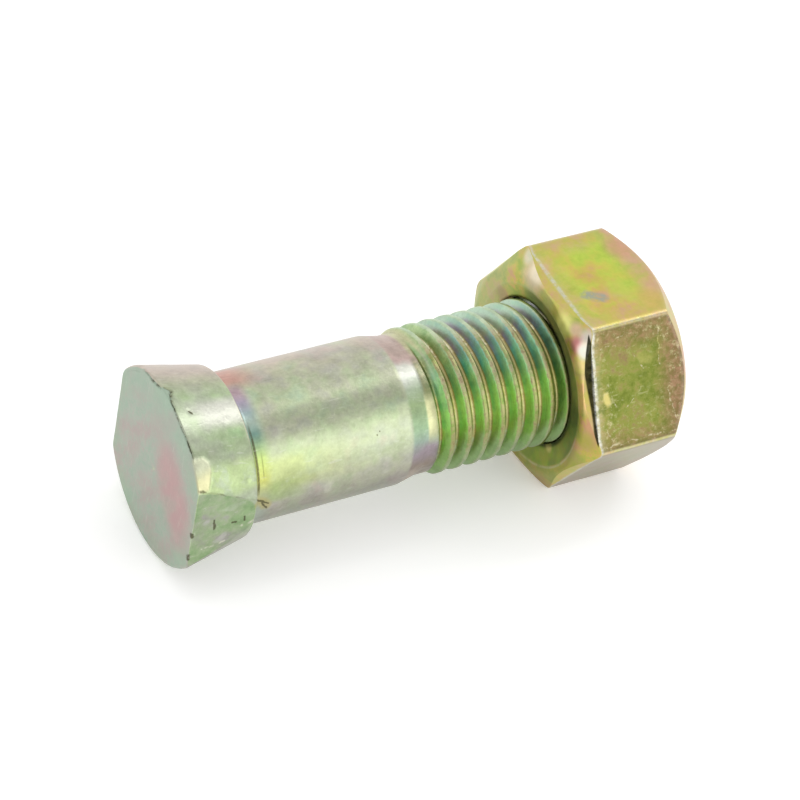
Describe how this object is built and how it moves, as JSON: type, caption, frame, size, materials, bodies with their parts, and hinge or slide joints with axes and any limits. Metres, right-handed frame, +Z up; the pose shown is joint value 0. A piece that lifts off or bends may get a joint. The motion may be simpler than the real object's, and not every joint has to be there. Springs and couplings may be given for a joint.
{
  "type": "plow bolt",
  "caption": "Plow bolt with a flat-sided conical head, plain shank and rolled right-hand thread, carrying a chamfered hex nut.",
  "frame": {"origin": "centre of the flat head face, on the bolt's axis", "axes": "+X along the bolt's axis from the head to the thread's tip, +Z up with the bolt lying on a flat of the nut and the rim of the head"},
  "size_m": [0.0564, 0.027, 0.0236],
  "materials": {
    "bolt_zinc": "satin yellow-passivated zinc plating",
    "nut_zinc": "satin yellow-passivated zinc plating"
  },
  "bodies": {
    "bolt": {"bolt": "bolt_zinc"},
    "nut": {"hex_nut": "nut_zinc"}
  },
  "joints": [
    {"name": "nut_travel", "type": "slide", "parent": "bolt", "child": "nut", "axis": [1, 0, 0], "range_m": [-0.014, 0.012]}
  ]
}
